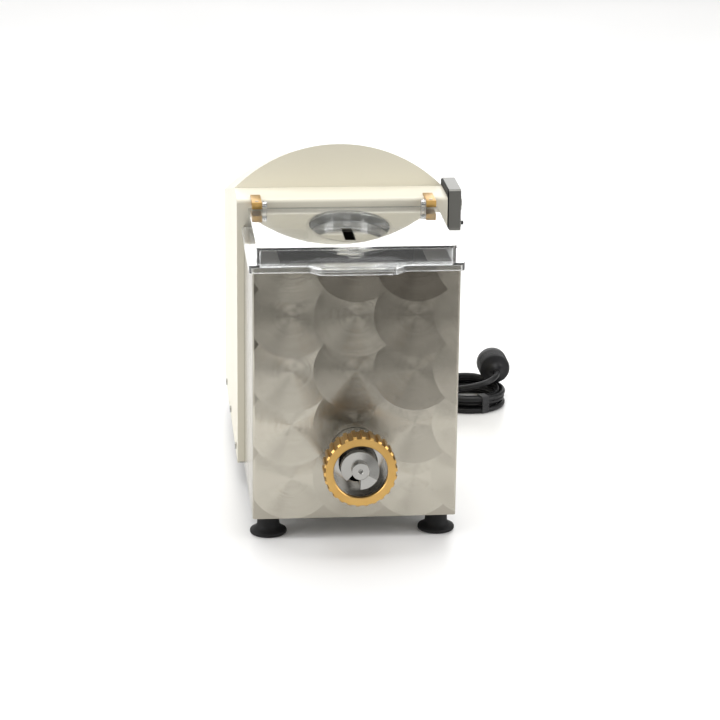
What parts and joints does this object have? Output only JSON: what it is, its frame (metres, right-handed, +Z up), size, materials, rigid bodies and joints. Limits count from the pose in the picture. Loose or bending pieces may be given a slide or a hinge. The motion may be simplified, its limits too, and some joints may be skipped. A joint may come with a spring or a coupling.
{
  "type": "electric pasta maker",
  "caption": "Worktop pasta extruder: stainless hopper with hinged clear lid, mixing shaft and auger, notched brass ring nut, painted motor housing, press buttons and a mains lead with plug.",
  "frame": {"origin": "on the worktop, under the middle of the machine's box without its lead", "axes": "+Z up, +Y from the ring nut to the rear panel, +X towards the control box"},
  "size_m": [0.3555, 0.6505, 0.38],
  "materials": {
    "stainless_sheet": "brushed stainless sheet, swirl-finished in front",
    "stainless_machined": "turned stainless steel",
    "cream_paint": "cream stove enamel, low gloss",
    "clear_plastic": "clear moulded plastic, glossy",
    "brass": "turned and milled brass, satin",
    "black_rubber": "matt black rubber",
    "grey_box": "dark brushed stainless box",
    "gear_steel": "hobbed and turned steel",
    "bearing_steel": "ground bearing steel",
    "cast_alloy": "sand-textured cast alloy",
    "grey_plastic": "dark grey moulded plastic",
    "ivory_plastic": "ivory moulded plastic",
    "white_button": "white moulded plastic",
    "green_button": "green moulded plastic",
    "red_button": "red moulded plastic",
    "black_plastic": "black moulded plastic",
    "zinc_screw": "bright zinc plate",
    "cord_sheath": "black flexible plastic sheath"
  },
  "bodies": {
    "machine": {"base_plate": "stainless_sheet", "feet": "black_rubber", "hopper_casing": "stainless_sheet", "mixing_tub": "stainless_sheet", "extruder_barrel": "stainless_machined", "barrel_bolts": "zinc_screw", "housing_front": "cream_paint", "housing_cover": "cream_paint", "rear_panel": "cream_paint", "casing_screws": "zinc_screw", "hinge_blocks": "brass", "hinge_screws": "zinc_screw", "hinge_set_screws": "zinc_screw", "hinge_pins": "zinc_screw", "mixer_bush": "ivory_plastic", "shaft_seals": "black_rubber", "gearbox_case": "cast_alloy", "gearbox_cover": "cast_alloy", "gearbox_bolts": "zinc_screw", "gearbox_bearings": "bearing_steel", "thrust_bearing": "bearing_steel", "motor_body": "cast_alloy", "motor_end_bell": "cast_alloy", "fan_cowl": "grey_plastic", "motor_bracket": "gear_steel", "run_capacitor": "ivory_plastic", "capacitor_clip": "zinc_screw", "lid_switch": "black_plastic", "control_box": "grey_box", "control_gasket": "black_rubber", "button_bezels": "zinc_screw", "contact_blocks": "grey_plastic", "cable_gland": "black_plastic", "mains_cord": "cord_sheath", "cord_coil": "cord_sheath", "cord_tail": "cord_sheath", "plug_body": "black_plastic", "plug_pins": "zinc_screw"},
    "lid": {"lid": "clear_plastic"},
    "ring_nut": {"ring_nut": "brass"},
    "die_washer": {"die_washer": "black_rubber"},
    "auger": {"auger": "stainless_machined"},
    "auger_drive": {"auger_shaft": "gear_steel", "auger_gear": "gear_steel"},
    "mixer": {"mixer_shaft": "stainless_machined", "mixer_paddles": "stainless_machined", "mixer_gear": "gear_steel"},
    "reduction": {"reduction_shaft": "gear_steel", "reduction_pinion": "gear_steel", "reduction_gear": "gear_steel"},
    "motor_rotor": {"motor_pinion": "gear_steel", "motor_shaft": "gear_steel", "motor_fan": "grey_plastic"},
    "mix_button": {"mix_button": "white_button"},
    "extrude_button": {"extrude_button": "green_button"},
    "stop_button": {"stop_button": "red_button"},
    "reset_button": {"reset_button": "black_plastic"}
  },
  "joints": [
    {"name": "lid_hinge", "type": "hinge", "parent": "machine", "child": "lid", "pos_m": [-0.00875, -0.054, 0.329], "axis": [-1, 0, 0], "range_deg": [0, 100]},
    {"name": "auger_turn", "type": "hinge", "parent": "machine", "child": "auger_drive", "pos_m": [-0.00875, -0.0215, 0.098], "axis": [0, 1, 0], "continuous": true},
    {"name": "auger_slide", "type": "slide", "parent": "auger_drive", "child": "auger", "axis": [0, -1, 0], "range_m": [-0.016, 0.24]},
    {"name": "mixer_turn", "type": "hinge", "parent": "machine", "child": "mixer", "pos_m": [-0.00875, -0.0215, 0.206], "axis": [0, 1, 0], "continuous": true},
    {"name": "reduction_turn", "type": "hinge", "parent": "machine", "child": "reduction", "pos_m": [0.04835, -0.0215, 0.12462], "axis": [0, 1, 0], "continuous": true},
    {"name": "motor_turn", "type": "hinge", "parent": "machine", "child": "motor_rotor", "pos_m": [0.01625, 0.0025, 0.16774], "axis": [0, 1, 0], "continuous": true},
    {"name": "ring_travel", "type": "slide", "parent": "machine", "child": "die_washer", "axis": [0, -1, 0], "range_m": [0, 0.0215]},
    {"name": "ring_turn", "type": "hinge", "parent": "die_washer", "child": "ring_nut", "pos_m": [-0.00875, -0.2635, 0.098], "axis": [0, -1, 0], "range_deg": [0, 2520]},
    {"name": "mix_press", "type": "slide", "parent": "machine", "child": "mix_button", "axis": [-1, 0, 0], "range_m": [0, 0.003], "stiffness_N_per_m": 300},
    {"name": "extrude_press", "type": "slide", "parent": "machine", "child": "extrude_button", "axis": [-1, 0, 0], "range_m": [0, 0.003], "stiffness_N_per_m": 300},
    {"name": "stop_press", "type": "slide", "parent": "machine", "child": "stop_button", "axis": [-1, 0, 0], "range_m": [0, 0.003], "stiffness_N_per_m": 300},
    {"name": "reset_press", "type": "slide", "parent": "machine", "child": "reset_button", "axis": [-1, 0, 0], "range_m": [0, 0.002], "stiffness_N_per_m": 300}
  ],
  "couplings": [
    {"joint": "mixer_turn", "follows": "auger_turn", "ratio": -0.8},
    {"joint": "reduction_turn", "follows": "auger_turn", "ratio": -3.2},
    {"joint": "motor_turn", "follows": "auger_turn", "ratio": 16.457},
    {"joint": "ring_travel", "follows": "ring_turn", "m_per_rad": 0.00047746}
  ]
}
